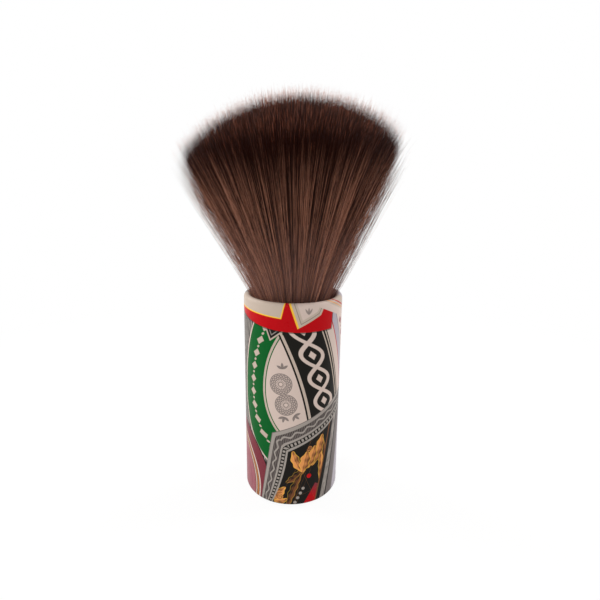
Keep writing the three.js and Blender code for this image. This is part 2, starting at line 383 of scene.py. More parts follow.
class Printer:
    """Paints a flat design, in millimetres across and up, in layers onto one sheet."""

    def __init__(self, sheet, tools, given, ground):
        self.sheet = sheet
        self.tools = tools
        self.given = given
        self.across = given["Across"]
        self.up = given["Up"]
        self.shown = given[ground]

    def tool(self, name, *outputs, **values):
        """The outputs of one of the tools, set in the design's own plane."""
        node = self.sheet.place(self.tools[name], Across=self.across, Up=self.up, **values)
        return [self.sheet.field(node, output) for output in outputs]

    def fill(self, inside):
        """A mask that is 1 where inside is over 0."""
        return self.sheet.fill(inside)

    def paint(self, mask, ink):
        """Paints where the mask is 1, with an ink by name or a colour of the sheet."""
        over = self.given[ink] if isinstance(ink, str) else ink
        self.shown = self.sheet.mix(mask, self.shown, over)

    def cover(self, inside, ink):
        """Paints where inside is over 0."""
        self.paint(self.fill(inside), ink)

    def gild(self, mask, light, dark, bright):
        """Paints where the mask is 1, from the dark ink to the bright one with the light."""
        self.paint(mask, self.sheet.mix(light, self.given[dark], self.given[bright]))

    def rule(self, distance, centre, width, ink):
        """Paints a line of a width along an edge, at a distance from it."""
        self.paint(self.stripe(distance, centre, width), ink)

    def arc(self, left, middle, upper, lower):
        return self.tool(
            "arc", "Inside", Left=left, Middle=middle, Upper_radius=upper, Lower_radius=lower)[0]

    def line(self, start, end):
        """Fields of the distance left of the line from start to end, and of the distance along it."""
        turn = math.atan2(end[1] - start[1], end[0] - start[0])
        return self.tool("line", "Left", "Along", Start_across=start[0], Start_up=start[1], Angle=turn)

    def circle(self, centre, radius):
        """Distance outside a circle."""
        run = self.across - centre[0]
        rise = self.up - centre[1]
        return (run * run + rise * rise).root() - radius

    def stripe(self, distance, centre, width):
        node = self.sheet.place(self.tools["stripe"], Distance=distance, Centre=centre, Width=width)
        return self.sheet.field(node, "Mask")


def rosette_group():
    """An engraved rosette: rings, petals and two crossing rope lines, in ink on an open disc."""
    inputs = (*PLANE, "Centre across", "Centre up", "Radius")
    group, sheet, given, end = new_group("Rosette", inputs, ("Ink mask",))
    run = (given["Across"] - given["Centre across"]) / given["Radius"]
    rise = (given["Up"] - given["Centre up"]) / given["Radius"]
    out = (run * run + rise * rise).root()
    turn = sheet.maths("ARCTAN2", rise, run)
    petals = (turn * ROSETTE_PETALS).sine()
    ropes = [sheet.ramp(abs(out - 0.74 - petals * swing), 0.07, 0.02) for swing in (0.13, -0.13)]
    rings = [sheet.ramp(abs(out - radius), 0.045, 0.015) for radius in (0.96, 0.5, 0.2)]
    spokes = sheet.ramp((turn * ROSETTE_PETALS * 2).cosine(), 0.1, 0.9)
    spokes = spokes * sheet.ramp(abs(out - 0.36), 0.13, 0.1)
    ink = sheet.ramp(abs(out - 0.74), 0.24, 0.2) * 0.35
    for part in (*ropes, *rings, spokes):
        ink = ink.most(part)
    sheet.feed(end.inputs["Ink mask"], ink)
    return group


def braid_group():
    """Two crossing waves along a band, with a lozenge in each eye."""
    group, sheet, given, end = new_group("Braid", ("Along", "Off", "Pitch", "Swing", "Width"), ("Mask",))
    turn = given["Along"] * math.pi / given["Pitch"]
    crest = abs(turn.sine()) * given["Swing"]
    climb = turn.cosine() * given["Swing"] * math.pi / given["Pitch"]
    slope = (1 + climb * climb).root()
    apart = abs(abs(given["Off"]) - crest) / slope
    wave = sheet.fill(given["Width"] / 2 - apart)
    eye = abs(given["Along"].wrap(given["Pitch"], 0) - given["Pitch"] / 2)
    lozenge = sheet.fill(given["Width"] - eye / 1.3 - abs(given["Off"]))
    sheet.feed(end.inputs["Mask"], wave.most(lozenge))
    return group


def scroll_group():
    """A volute: a band that winds in through two turns to an eye, and how light it is across."""
    inputs = (*PLANE, "Centre across", "Centre up", "Radius", "Start", "Hand")
    group, sheet, given, end = new_group("Scroll", inputs, ("Leaf", "Light"))
    run = (given["Across"] - given["Centre across"]) / given["Radius"]
    rise = (given["Up"] - given["Centre up"]) * given["Hand"] / given["Radius"]
    out = (run * run + rise * rise).root()
    turn = (sheet.maths("ARCTAN2", rise, run) - given["Start"]).wrap(2 * math.pi, 0) / (2 * math.pi)
    outer = out - 0.88 + turn * 0.42
    inner = out - 0.44 + turn * 0.3
    leaf = sheet.ramp(0.17 - turn * 0.05 - abs(outer), -0.02, 0.02)
    curl = sheet.ramp(0.09 - turn * 0.02 - abs(inner), -0.02, 0.02)
    eye = sheet.ramp(0.15 - out, -0.02, 0.02)
    light = sheet.ramp(outer * leaf + inner * curl, -0.12, 0.12)
    sheet.feed(end.inputs["Leaf"], leaf.most(curl).most(eye))
    sheet.feed(end.inputs["Light"], light)
    return group


def plume_group():
    """A bent, lobed leaf along a straight run: where it is, how light it is and its rim."""
    inputs = (*PLANE, "Start across", "Start up", "Angle", "Length", "Width", "Bend", "Lobes")
    group, sheet, given, end = new_group("Plume", inputs, ("Leaf", "Light", "Rim"))
    run = given["Across"] - given["Start across"]
    rise = given["Up"] - given["Start up"]
    side, ahead = given["Angle"].sine(), given["Angle"].cosine()
    share = (run * ahead + rise * side) / given["Length"]
    spot = share * 2 - 1
    room = (1 - spot * spot).most(0)
    off = rise * ahead - run * side - given["Bend"] * room
    beat = share * given["Lobes"] * 2 * math.pi
    full = room * 0.55 + room.root() * 0.45
    inside = full * given["Width"] * (1 + beat.cosine() * 0.14) - abs(off)
    sheet.feed(end.inputs["Leaf"], sheet.fill(inside))
    lit = sheet.ramp(off / given["Width"] + beat.sine() * 0.22, -0.7, 0.25)
    midrib = sheet.ramp(abs(off), 0.28, 0.12)
    sheet.feed(end.inputs["Light"], lit - midrib * 0.45)
    rim = sheet.ramp(abs(inside - 0.14), 0.2, 0.08) * sheet.ramp(room, 0.05, 0.15)
    sheet.feed(end.inputs["Rim"], rim)
    return group


def engraving(art, spacing):
    """Fine engraved lines of uneven weight, as a mask."""
    waves = (art.across * 2 + (art.up * 0.35).sine() * 1.4) * (math.pi / spacing)
    weight = art.sheet.noise(art.sheet.flat_place(art.across, art.up), 0.35)
    return art.sheet.ramp(waves.sine() * 0.5 + weight, 0.3, 0.8)


def leaf(art, centre, degrees, long, wide):
    """A small pointed leaf, as a mask."""
    heading = math.radians(degrees)
    tip = (centre[0] + math.cos(heading), centre[1] + math.sin(heading))
    off, along = art.line(centre, tip)
    spot = along / (long / 2)
    return art.fill((1 - spot * spot) * (wide / 2) - abs(off))


def spray(art, centre, headings, reach, leaf_size, strength):
    """Small leaves fanned out round a point."""
    for heading in headings:
        aim = math.radians(heading)
        place = (centre[0] + reach * math.cos(aim), centre[1] + reach * math.sin(aim))
        art.paint(leaf(art, place, heading, *leaf_size) * strength, "Steel")


def fine_lines(art, distance):
    """Thin lines that follow an edge, as a light mask."""
    return art.sheet.ramp((distance * LINE_TURN).sine(), 0.3, 0.8) * 0.3


def lozenge_row(art, along, off, pitch, long, wide):
    """Lozenges along a band, with a dot between each two, as a mask."""
    place = abs(along.wrap(pitch, 0) - pitch / 2)
    lozenge = 1 - place / (long / 2) - abs(off) / (wide / 2)
    between = pitch / 2 - place
    dot = wide * 0.16 - (between * between + off * off).root()
    return art.fill((lozenge * (wide / 4)).most(dot))


def paint_green_band(art):
    """The curved green band with its lozenge row, and the pale ground inside it with its keylines."""
    outer = art.arc(-25.7, 52, 74, 38)
    inner = art.arc(-13.3, 56, 46, 31)
    art.cover(outer + 0.7, "Blush")
    art.cover(outer, "Green")
    art.paint(lozenge_row(art, art.up, (outer + inner) / 2, 6.2, 4.0, 3.6), "Cream")
    art.cover(inner, "Blush")
    art.rule(inner, 0.45, 0.8, "Cream")
    art.rule(inner, 1.2, 0.5, "Green")


def paint_notch(art):
    """The dark notch between the green and the black band, with its cream rim."""
    left, _ = art.line((-11.6, 82.5), (-9.8, 78.0))
    right, _ = art.line((-9.8, 78.0), (-6.2, 80.8))
    inside = left.least(right)
    art.cover(inside, "Cream")
    art.cover(inside - 0.6, "Ink")
    art.paint(art.stripe(inside, 1.7, 0.4) * 0.8, "Silver")


def paint_rosettes(art):
    """Two engraved rosettes with a spray of leaves at each end."""
    for centre, heading in (((-4.2, 66.2), 95), ((1.0, 45.0), -40), ((-3.4, 44.2), -100)):
        spray(art, centre, (heading - 58, heading, heading + 58), 1.4, (3.0, 1.15), 0.85)
    for centre in ((-4.9, 59.2), (-2.6, 49.8)):
        ink, = art.tool("rosette", "Ink mask", Centre_across=centre[0], Centre_up=centre[1], Radius=5.0)
        art.cover(-art.circle(centre, 5.0), "Blush")
        art.paint(ink, "Steel")


def paint_black_band(art):
    """The wide black band on its shallow arc, with its keylines and braid, and the strips to its right."""
    band = art.circle((-139, 15.7), 150)
    art.cover(band - 18.4, "Blush")
    side = art.fill(band - 22.5)
    art.paint(side, "Lilac")
    art.paint(side * fine_lines(art, band), "Silver")
    art.rule(band, 29.4, 5.4, "Blush")
    for centre in (26.3, 32.5):
        art.rule(band, centre, 0.35, "Steel")
    art.paint(lozenge_row(art, art.up, band - 29.4, 6.2, 4.0, 3.4), "Rose")
    art.rule(band, 22.4, 0.5, "Red")
    art.rule(band, 9.1, 18.2, "Ink")
    for centre, width in ((-0.6, 0.9), (15.9, 0.6), (17.4, 0.6)):
        art.rule(band, centre, width, "Cream")
    art.rule(band, -1.55, 0.8, "Ink")
    braid = art.sheet.place(
        art.tools["braid"], Along=art.up * 1.04, Off=band - 7.9, Pitch=11.5, Swing=4.6, Width=1.7)
    art.paint(art.sheet.field(braid, "Mask"), "Blush")


def paint_collar(art):
    """The red band under the lip, with its two cream points and their keylines."""
    droop = (art.across - 6).least(0)
    low = art.up - 82.2 - droop * droop * 0.0038
    end, _ = art.line((18.2, 82), (19.6, 95))
    collar = low.least(end)
    art.paint(art.fill(collar + 0.5) * 0.7, "Ink")
    art.cover(collar, "Red")
    sag = (art.across + 5) * 0.09
    flag = (art.up - 88.4 + sag + sag * sag * 0.16).least((art.up - 88.5) * 0.25 - art.across - 5.2)
    art.cover(flag + 0.5, "Gold")
    art.cover(flag, "Cream")
    left, _ = art.line((1.9, 83.8), (-1.8, 94.7))
    right, _ = art.line((1.9, 83.8), (12.2, 89.1))
    far, _ = art.line((12.2, 89.1), (14.8, 94.4))
    art.cover(right.least(-left).least(far), "Gold")
    art.cover(right.least(-left - 0.8).least(far), "Cream")
    inset = right.least(far).least(-left - 1)
    art.paint(art.stripe(inset, 1.1, 0.3) * 0.8, "Steel")
    art.cover(inset - 2.2, "Blush")
    spray(art, (6.6, 89.6), (60, 90, 120), 1.6, (3.0, 0.8), 0.7)


def paint_side_strip(art):
    """The slanting cream strip and thin lines to the right of the collar."""
    edge, _ = art.line((17.6, 95.4), (33, 88.6))
    art.cover(edge + 5.2, "Blush")
    art.cover(edge + 2.2, "Cream")
    art.rule(edge, 0, 0.5, "Red")
    art.rule(edge, -1.2, 0.35, "Ochre")


def paint_medallion(art):
    """The part of a round medallion at the lower left: maroon ring, double keyline, hatched rose."""
    rim = art.circle((-42.6, 5.9), 27.4)
    art.cover(6.2 - rim, "Ink")
    art.cover(5.6 - rim, "Maroon")
    art.cover(-rim, "Umber")
    art.cover(-3.4 - rim, "Rose")
    for centre, width in ((-0.3, 0.8), (-2.6, 0.6)):
        art.rule(rim, centre, width, "Blush")
    art.rule(rim, -1.5, 0.35, "Ochre")
    hatch = art.sheet.ramp((rim * 2.6).sine(), 0.2, 0.8) * art.fill(-4.6 - rim)
    art.paint(hatch * 0.45, "Maroon")


def paint_border(art):
    """The grey ornamental border with its bend, and what it frames."""
    outer_leg, leg_along = art.line((-14.6, 0), (-8.6, 35.6))
    outer_top, top_along = art.line((-8.6, 35.6), (25.4, 49.6))
    inner_leg, inner_along = art.line((-9.4, 0), (-1.5, 27.4))
    inner_top, _ = art.line((-1.5, 27.4), (17.5, 36.4))
    bow = (inner_along - 13) / 15
    outside = (-outer_leg).least(-outer_top)
    inside = (-inner_leg - (1 - bow * bow).most(0) * 1.3).least(-inner_top)
    share = outside / (outside - inside)
    on_leg = outer_leg.above(outer_top)
    along = on_leg * leg_along + (1 - on_leg) * top_along
    across = share * 7
    ground = art.fill(outside)
    art.cover(outside + 0.3, "Steel")
    art.paint(ground, "Silver")
    art.paint(ground * art.fill(across - 1.15), "Steel")
    grain = engraving(art, 0.8)
    art.paint(ground * grain * 0.8 * art.fill(across - 1.15), "Ink")
    wave = across - 2.55 - (along * 1.1).sine() * 0.45
    art.paint(ground * art.stripe(wave, 0, 0.6), "Silver")
    art.paint(ground * art.fill(across - 4.0), "Silver")
    art.paint(ground * art.fill(across - 4.75), "Ink")
    rung = abs(along.wrap(1.75, 0) - 0.87)
    square = (0.5 - rung).least(0.5 - abs(across - 5.5))
    art.paint(ground * art.fill(square), "Silver")
    art.paint(ground * art.fill(across - 6.25), "Silver")
    art.cover(inside, paint_framed(art))


PLUMES = (
    # start, end, half width, bend, lobes, dark
    ((6.6, 20.0), (-2.6, 11.6), 1.7, 0.6, 4, True),
    ((4.6, 16.8), (-2.0, -1.8), 1.6, -0.7, 5, True),
    ((15.0, 32.0), (14.8, 11.0), 1.5, 0.8, 5, True),
    ((13.4, 29.5), (13.6, 10.4), 1.3, 0.6, 5, False),
    ((9.4, 19.2), (14.9, 33.6), 2.3, -0.5, 4, False),
    ((7.2, 18.4), (11.0, 29.2), 2.0, -0.3, 3, False),
    ((5.0, 17.0), (0.5, 27.8), 1.9, 0.7, 3, False),
    ((5.0, 16.6), (7.4, 27.0), 2.3, 0.2, 3, False),
    ((-2.6, 9.6), (-7.4, 0.4), 1.9, -0.9, 3, False),
    ((-7.8, 1.6), (-1.6, 3.4), 1.4, -0.6, 2, False),
    ((23.0, 9.4), (18.0, 0.6), 1.9, 0.7, 3, False),
)

SCROLLS = (
    ((-5.2, 4.6), 2.4, 60, 1),
    ((8.2, 28.3), 1.4, 200, 1),
)


def paint_framed(art):
    """Gilded leafwork on black, with a red sash, a silver band and a row of beads. Returns its colour."""
    inner = Printer(art.sheet, art.tools, art.given, "Ink")
    sash, sash_along = inner.line((5.4, 0), (11.4, 10))
    sash_end = inner.fill(11.5 - sash_along) * inner.fill(-sash)
    inner.paint(sash_end, "Red")
    inner.paint(sash_end * inner.sheet.ramp(sash_along, 5, 11.5), "Maroon")
    beads, bead_along = inner.line((1.2, 0.4), (6.4, 10.4))
    place = bead_along.wrap(2.6, 0) - 1.3
    bead = 0.75 - (place * place + beads * beads).root()
    inner.paint(inner.fill(bead) * inner.fill(10.4 - bead_along), "Silver")
    inner.cover(-inner.circle((8.1, 14.4), 1.1), "Red")
    for start, end, wide, bend, lobes, dark in PLUMES:
        leafage, light, rim = inner.tool(
            "plume", "Leaf", "Light", "Rim", Start_across=start[0], Start_up=start[1],
            Angle=math.atan2(end[1] - start[1], end[0] - start[0]), Length=math.dist(start, end),
            Width=wide, Bend=bend, Lobes=lobes)
        inner.gild(leafage, light, *(("Ink", "Umber") if dark else ("Umber", "Ochre")))
        inner.paint(rim * (0.25 if dark else 0.6), "Gold")
    band, along = inner.line((14.6, 0), (22.4, 36))
    inner.cover(-2.4 - band, "Steel")
    inner.cover(-7.5 - band, "Lilac")
    inner.paint(inner.fill(-7.5 - band) * fine_lines(inner, band), "Silver")
    inner.paint(lozenge_row(inner, along, band + 13.6, 5.4, 3.6, 3.0), "Steel")
    inner.rule(band, 0.2, 6.0, "Ink")
    inner.rule(band, 3.2, 0.7, "Umber")
    inner.rule(band, -0.6, 2.8, "Silver")
    streaks = inner.sheet.noise(inner.sheet.flat_place(band * 0.6, along * 0.25), 1.0)
    streaks = inner.sheet.ramp(streaks, 0.4, 0.6) * 0.75
    inner.paint(inner.stripe(band, -0.6, 2.8) * streaks, "Steel")
    for centre, radius, start, hand in SCROLLS:
        leafage, light = inner.tool(
            "scroll", "Leaf", "Light", Centre_across=centre[0], Centre_up=centre[1], Radius=radius,
            Start=math.radians(start), Hand=hand)
        inner.gild(leafage, light, "Umber", "Ochre")
    return inner.shown


def collage_group(tools):
    """One printed sheet of the collage, in the colours that it is given."""
    group, sheet, given, end = new_group("Label collage", PLANE + PALETTE, ("Color",))
    art = Printer(sheet, tools, given, "Silver")
    art.paint((engraving(art, 1.3) * 1.5).least(1), "Ink")
    paint_green_band(art)
    paint_rosettes(art)
    paint_black_band(art)
    paint_notch(art)
    paint_collar(art)
    paint_side_strip(art)
    paint_medallion(art)
    paint_border(art)
    sheet.feed(end.inputs["Color"], art.shown)
    return group


def print_grain_group():
    """The print's dots and cloudiness as a shade near 1, and its uneven roughness."""
    group, sheet, given, end = new_group("Print grain", ("Place", *PLANE), ("Shade", "Roughness"))
    dots = (given["Across"] * 21).sine() * (given["Up"] * 21).sine()
    cloud = sheet.noise(given["Place"], 60)
    sheet.feed(end.inputs["Shade"], 0.94 + dots * 0.025 + cloud * 0.09)
    sheet.feed(end.inputs["Roughness"], sheet.ramp(sheet.noise(given["Place"], 240), 0.3, 0.7, 0.27, 0.4))
    return group


def mottle_group():
    """Fine moulded grain: a height for bump, a clouded roughness and a shade near 1."""
    inputs = ("Place", "Scale", "Low", "High")
    group, sheet, given, end = new_group("Moulded grain", inputs, ("Height", "Roughness", "Shade"))
    fine = sheet.node("TexNoise")
    sheet.feed(fine.inputs["Vector"], given["Place"])
    sheet.feed(fine.inputs["Scale"], given["Scale"])
    grain = Field(sheet, fine.outputs["Fac"])
    cloud = sheet.noise(given["Place"], 45)
    sheet.feed(end.inputs["Height"], grain)
    sheet.feed(end.inputs["Roughness"], given["Low"] + (given["High"] - given["Low"]) * cloud)
    sheet.feed(end.inputs["Shade"], 0.9 + cloud * 0.2)
    return group


def filament_group():
    """The colour of a filament from its own tone and the place along it: darker towards the top of the head,
    partly as painted shade, with painted light at the thin ends and partly painted backlight on the pale
    fringe filaments.
    """
    group, sheet, given, end = new_group("Filament colour", ("Tone", "Along", *FILAMENT_INKS_AND_LIGHT), ("Color",))
    tone, along = given["Tone"], given["Along"]
    shown = sheet.mix(sheet.ramp(along, 0.14, 0.46), given["Base"], given["Body"])
    shown = sheet.mix(sheet.ramp((tone * 40).sine(), 0.3, 0.9) * 0.3, shown, given["Russet"])
    # Darker towards the top of the head: partly darker tips, partly painted shade.
    shown = sheet.mix(sheet.ramp(along, 0.46, 0.76), shown, given["Tips"])
    # Pale filaments, paler lower down: partly lighter filaments, partly painted backlight on the outer
    # fringe.
    light = sheet.ramp(tone, 0.84, 0.9) * sheet.ramp(along, 0.9, 0.5, 0.2, 0.8)
    shown = sheet.mix(light, shown, given["Pale"])
    # The thin ends above the packed dome: painted light shining through them.
    shown = sheet.mix(sheet.ramp(along, 1.0, 1.3), shown, given["Ends"])
    sheet.feed(end.inputs["Color"], sheet.scaled(shown, sheet.ramp(tone, 0.05, 0.8, 0.5, 1.4)))
    return group


# ---------------------------------------------------------------- materials

SHARED = {}


def shared(build, *given):
    """The node group that a builder makes, made once for the whole file."""
    key = build.__name__
    if key not in SHARED:
        SHARED[key] = build(*given)
    return SHARED[key]


def print_tools():
    """The groups that the printer paints with, by short name."""
    builders = (
        arc_group, line_group, stripe_group, rosette_group, braid_group, scroll_group, plume_group)
    return {build.__name__.removesuffix("_group"): shared(build) for build in builders}


def new_material(name, roughness):
    """A material with one shader. Returns it, its sheet, its shader and the object's own place."""
    material = bpy.data.materials.new(name)
    material.use_nodes = True
    tree = material.node_tree
    tree.nodes.clear()
    sheet = Sheet(tree)
    output = sheet.node("OutputMaterial")
    shader = sheet.node("BsdfPrincipled")
    shader.inputs["Roughness"].default_value = roughness
    tree.links.new(shader.outputs[0], output.inputs[0])
    place = sheet.node("TexCoord").outputs["Object"]
    return material, sheet, shader, place


def add_bump(sheet, shader, height, depth):
    bump = sheet.node("Bump")
    bump.inputs["Strength"].default_value = 1.0
    bump.inputs["Distance"].default_value = depth
    sheet.feed(bump.inputs["Height"], height)
    sheet.feed(shader.inputs["Normal"], bump.outputs[0])


SHEET_MIDDLE = 47               # millimetres up the film at which the sheet edges below are measured
LEFT_EDGE = (-38, 0.1)          # millimetres across there, and how far it leans for each one up
RIGHT_EDGE = (33, 0.08)
KEYLINE_INSET = 0.4
LIP_WEAR = 1.6
BACK_INKS = {
    "Red": "umber", "Green": "maroon", "Ink": "green", "Maroon": "ink", "Rose": "steel", "Silver": "cream"}


def film_material(settings):
    """Satin printed film: two sheets of the collage round the handle, a cream lip and worn edges."""
    material, sheet, shader, place = new_material("Printed film", 0.32)
    shader.inputs["Specular IOR Level"].default_value = SOFT_SHINE
    wrap = sheet.place(shared(wrap_group), Place=place)
    across, up = sheet.field(wrap, "Across"), sheet.field(wrap, "Up")
    left = across - LEFT_EDGE[0] - (up - SHEET_MIDDLE) * LEFT_EDGE[1]
    right = RIGHT_EDGE[0] - (up - SHEET_MIDDLE) * RIGHT_EDGE[1] - across
    inside = left.least(right)
    on_front = sheet.fill(inside)
    on_back = 1 - on_front
    turned = (HALF_WRAP - across).wrap(HALF_WRAP, -HALF_WRAP)
    inks = {name: getattr(settings, name.lower()) for name in PALETTE}
    for name, other in BACK_INKS.items():
        inks[name] = sheet.mix(on_front, getattr(settings, other), inks[name])
    collage = sheet.place(
        shared(collage_group, print_tools()), Across=across * on_front + turned * on_back,
        Up=up * on_front + (HANDLE_HEIGHT / MM - up) * on_back, **inks)
    shown = collage.outputs["Color"]
    keyline = sheet.ramp(abs(inside + KEYLINE_INSET), 0.42, 0.32)
    shown = sheet.mix(keyline, shown, settings.cream)
    top = HANDLE_HEIGHT / MM
    near_edge = sheet.ramp(up, 0.9, 0.1).most(sheet.ramp(up, top - LIP_WEAR, top - 0.6))
    worn = sheet.ramp(sheet.noise(place, 900), 0.56, 0.68) * near_edge * 0.5
    shown = sheet.mix(worn, shown, settings.cream)
    grain = sheet.place(shared(print_grain_group), Place=place, Across=across, Up=up)
    sheet.feed(shader.inputs["Base Color"], sheet.scaled(shown, grain.outputs["Shade"]))
    sheet.feed(shader.inputs["Roughness"], sheet.field(grain, "Roughness") + worn * 0.4)
    ripples = sheet.node("Mapping")
    ripples.inputs["Scale"].default_value = (1, 1, 0.25)
    sheet.feed(ripples.inputs["Vector"], place)
    add_bump(sheet, shader, sheet.noise(ripples.outputs[0], 130, 2.0, 0.5), 0.09 * MM)
    return material


def moulded_material(name, tint, dark, scale, low, high, depth):
    """Moulded plastic or resin: two close colours clouded together, fine grain and a changing roughness."""
    material, sheet, shader, place = new_material(name, (low + high) / 2)
    grain = sheet.place(shared(mottle_group), Place=place, Scale=scale, Low=low, High=high)
    cloud = sheet.ramp(sheet.field(grain, "Shade"), 0.95, 1.05)
    sheet.feed(shader.inputs["Base Color"], sheet.mix(cloud, linear(dark), linear(tint)))
    sheet.feed(shader.inputs["Roughness"], grain.outputs["Roughness"])
    add_bump(sheet, shader, grain.outputs["Height"], depth)
    return material


def filament_material(settings):
    """Soft synthetic filament: its own tone, paler at the roots, darkest near the tip (partly painted shade
    of the dome), light at the end (painted light through the thin ends).
    """
    material, sheet, shader, _ = new_material("Brown filament", 0.46)
    shader.inputs["Specular IOR Level"].default_value = SOFT_SHINE
    tone = sheet.node("Attribute", attribute_name="tone")
    along = sheet.node("Attribute", attribute_name="along")
    group = sheet.place(
        shared(filament_group), Tone=tone.outputs["Fac"], Along=along.outputs["Fac"],
        Base=settings.root_colour, Body=settings.body_colour, Tips=settings.tip_and_shade_colour,
        Ends=settings.end_backlight_colour, Pale=settings.pale, Russet=settings.russet)
    sheet.feed(shader.inputs["Base Color"], group.outputs["Color"])
    sheet.feed(shader.inputs["Roughness"], sheet.ramp(tone.outputs["Fac"], 0, 1, 0.52, 0.4))
    return material


# ---------------------------------------------------------------- meshes

def new_object(name, mesh, material):
    mesh.materials.append(material)
    obj = bpy.data.objects.new(name, mesh)
    bpy.context.scene.collection.objects.link(obj)
    return obj


def build_mesh(name, points, corners, sizes):
    """A mesh from an array of points, the corner list of its faces and the corner count of each."""
    mesh = bpy.data.meshes.new(name)
    starts = np.concatenate([[0], np.cumsum(sizes)[:-1]])
    mesh.vertices.add(len(points))
    mesh.vertices.foreach_set("co", np.ascontiguousarray(points, dtype=np.float32).ravel())
    mesh.loops.add(len(corners))
    mesh.loops.foreach_set("vertex_index", np.ascontiguousarray(corners, dtype=np.int32))
    mesh.polygons.add(len(sizes))
    mesh.polygons.foreach_set("loop_start", np.ascontiguousarray(starts, dtype=np.int32))
    mesh.update(calc_edges=True)
    mesh.validate()
    return mesh


def arc(centre, radius, start, end, steps):
    """Radius and height points round a circle in an outline, angles in degrees."""
    turns = [math.radians(start + (end - start) * step / steps) for step in range(steps + 1)]
    return [(centre[0] + radius * math.cos(turn), centre[1] + radius * math.sin(turn)) for turn in turns]


def straight(start, end, steps):
    """Points from start to end, both left out."""
    shares = [step / steps for step in range(1, steps)]
    return [(start[0] + (end[0] - start[0]) * s, start[1] + (end[1] - start[1]) * s) for s in shares]


def turned_points(outline, turns, shift=0.0):
    """The points of an outline turned about the axis, turn by turn, moved outwards by shift."""
    radius = outline[None, :, 0] + shift
    x = radius * np.cos(turns)[:, None]
    y = radius * np.sin(turns)[:, None]
    z = np.broadcast_to(outline[None, :, 1], x.shape)
    return np.stack([x, y, z], axis=-1).reshape(-1, 3)


def wall_faces(rows, count, closed):
    """Quads between each turn and the next, of outlines that are closed or open."""
    row, spot = np.meshgrid(np.arange(rows), np.arange(count if closed else count - 1), indexing="ij")
    next_row, next_spot = (row + 1) % rows, (spot + 1) % count
    return np.stack([
        row * count + spot, next_row * count + spot,
        next_row * count + next_spot, row * count + next_spot], axis=-1).reshape(-1, 4)


def turned_ring(name, outline, turns, shift):
    """A closed outline turned about the axis. shift gives each point's extra radius."""
    outline = np.array(outline)
    points = turned_points(outline, turns, shift(outline, turns))
    quads = wall_faces(len(turns), len(outline), True)
    return build_mesh(name, points, quads.ravel(), np.full(len(quads), 4))


def turned_disc(name, outline, segments):
    """An outline that starts and ends on the axis, turned about it."""
    first, *ring, last = outline
    points = turned_points(np.array(ring), np.linspace(0, 2 * math.pi, segments, endpoint=False))
    count = len(ring)
    low_pole, high_pole = len(points), len(points) + 1
    points = np.concatenate([points, [(0, 0, first[1]), (0, 0, last[1])]])
    quads = wall_faces(segments, count, False)
    rows = np.arange(segments)
    nexts = (rows + 1) % segments
    under = np.stack([np.full(segments, low_pole), nexts * count, rows * count], axis=-1)
    over = np.stack([
        np.full(segments, high_pole), rows * count + count - 1, nexts * count + count - 1], axis=-1)
    corners = np.concatenate([quads.ravel(), under.ravel(), over.ravel()])
    sizes = np.concatenate([np.full(len(quads), 4), np.full(2 * segments, 3)])
    return build_mesh(name, points, corners, sizes)


def smooth_below(mesh, degrees):
    """Smooth shading, with edges sharper than the angle kept crisp."""
    mesh.polygons.foreach_set("use_smooth", np.ones(len(mesh.polygons), dtype=bool))
    mesh.set_sharp_from_angle(angle=math.radians(degrees))


# ---------------------------------------------------------------- film sleeve

WALL_SEGMENTS = 224
SEAM_TURN = math.radians(98)
SEAM_WIDTH = 4.5 * MM
SEAM_EDGE = (-0.05 * MM, 0.0, 0.06 * MM)
PLEATS = ((41, 0.4, 1.0), (67, 2.1, 0.6), (23, 1.3, 0.5))   # number round the lip, start, weight
PLEAT_REACH = 1.1 * MM
PLEAT_SWING = 0.5
PLEAT_SINK = 1.05
EDGE_STEPS = 8
LIP_STEPS = 20
WALL_STEPS = 30
TURN_IN_STEPS = 5
FILM_CREASE = 40


def sleeve_outline(settings):
    """The film's closed outline: out under the base, up the wall, over the lip and back inside it."""
    lip_round = settings.lip / 2
    lip_centre = (HANDLE_RADIUS - lip_round, HANDLE_HEIGHT - lip_round)
    edge_centre = (HANDLE_RADIUS - settings.edge, settings.edge)
    under = HANDLE_RADIUS - settings.turn_under
    mouth = HANDLE_RADIUS - settings.lip
    low_in = HANDLE_HEIGHT - settings.turn_in
    outer = [(under, 0.0)]
    outer += arc(edge_centre, settings.edge, -90, 0, EDGE_STEPS)
    outer += straight(outer[-1], (HANDLE_RADIUS, lip_centre[1]), WALL_STEPS)
    outer += arc(lip_centre, lip_round, 0, 180, LIP_STEPS)
    outer += straight(outer[-1], (mouth, low_in), TURN_IN_STEPS)
    outer.append((mouth, low_in))
    inner = [(mouth + settings.film, low_in)]
    inner += straight(inner[-1], (mouth + settings.film, lip_centre[1]), TURN_IN_STEPS)
    inner += arc(lip_centre, lip_round - settings.film, 180, 0, LIP_STEPS)
    inner += straight(inner[-1], (HANDLE_RADIUS - settings.film, edge_centre[1]), WALL_STEPS)
    inner += arc(edge_centre, settings.edge - settings.film, 0, -90, EDGE_STEPS)
    inner.append((under, settings.film))
    return outer + inner, len(outer)


